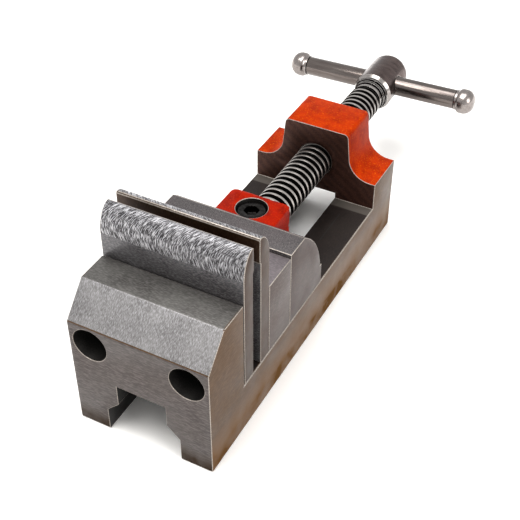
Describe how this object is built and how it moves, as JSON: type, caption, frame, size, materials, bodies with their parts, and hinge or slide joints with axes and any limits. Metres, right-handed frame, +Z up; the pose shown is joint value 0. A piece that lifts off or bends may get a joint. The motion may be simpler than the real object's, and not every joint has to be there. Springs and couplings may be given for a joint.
{
  "type": "small screw vise",
  "caption": "Small bench vise for thin flat blanks: ground iron body, crowned jaw plates, and a jaw guided in the slotted bed, driven by a lead screw with a sliding bar handle.",
  "frame": {"origin": "on the table, under the middle of the vise's box", "axes": "+Y from the fixed jaw to the handle along the lead screw, +X to the right seen from the fixed jaw's end, +Z up from the table"},
  "size_m": [0.0832, 0.203, 0.0728],
  "materials": {
    "ground_cast_iron": "ground flat faces, satin",
    "ground_jaw_steel": "ground",
    "black_oxide_steel": "black oxide",
    "thread_steel": "machined, oiled",
    "polished_steel": "polished"
  },
  "bodies": {
    "base": {"base_body": "ground_cast_iron", "fixed_jaw_plate": "ground_jaw_steel", "fixed_jaw_screw_left": "black_oxide_steel", "fixed_jaw_screw_right": "black_oxide_steel"},
    "carriage": {"moving_jaw": "ground_cast_iron", "moving_jaw_plate": "ground_jaw_steel", "jaw_spacer": "ground_jaw_steel", "moving_jaw_screw_left": "black_oxide_steel", "moving_jaw_screw_right": "black_oxide_steel", "hold_down_screw": "black_oxide_steel", "keeper_plate": "ground_jaw_steel", "keeper_dowel_front": "polished_steel", "keeper_dowel_rear": "polished_steel", "retaining_pin_lower": "polished_steel", "retaining_pin_upper": "polished_steel", "thrust_washer": "polished_steel"},
    "screw": {"lead_screw": "thread_steel"},
    "handle": {"handle_bar": "polished_steel", "handle_knob_left": "polished_steel", "handle_knob_right": "polished_steel"}
  },
  "joints": [
    {"name": "jaw_slide", "type": "slide", "parent": "base", "child": "carriage", "axis": [0, 1, 0], "range_m": [-0.0035, 0.042]},
    {"name": "screw_turn", "type": "hinge", "parent": "carriage", "child": "screw", "pos_m": [0, -0.01825, 0.0356], "axis": [0, 1, 0], "range_deg": [-421, 5041]},
    {"name": "handle_slide", "type": "slide", "parent": "screw", "child": "handle", "axis": [0.9995, 0, 0.0314], "range_m": [-0.0253, 0.0253]}
  ],
  "couplings": [
    {"joint": "screw_turn", "follows": "jaw_slide", "rad_per_m": 2094.4}
  ]
}
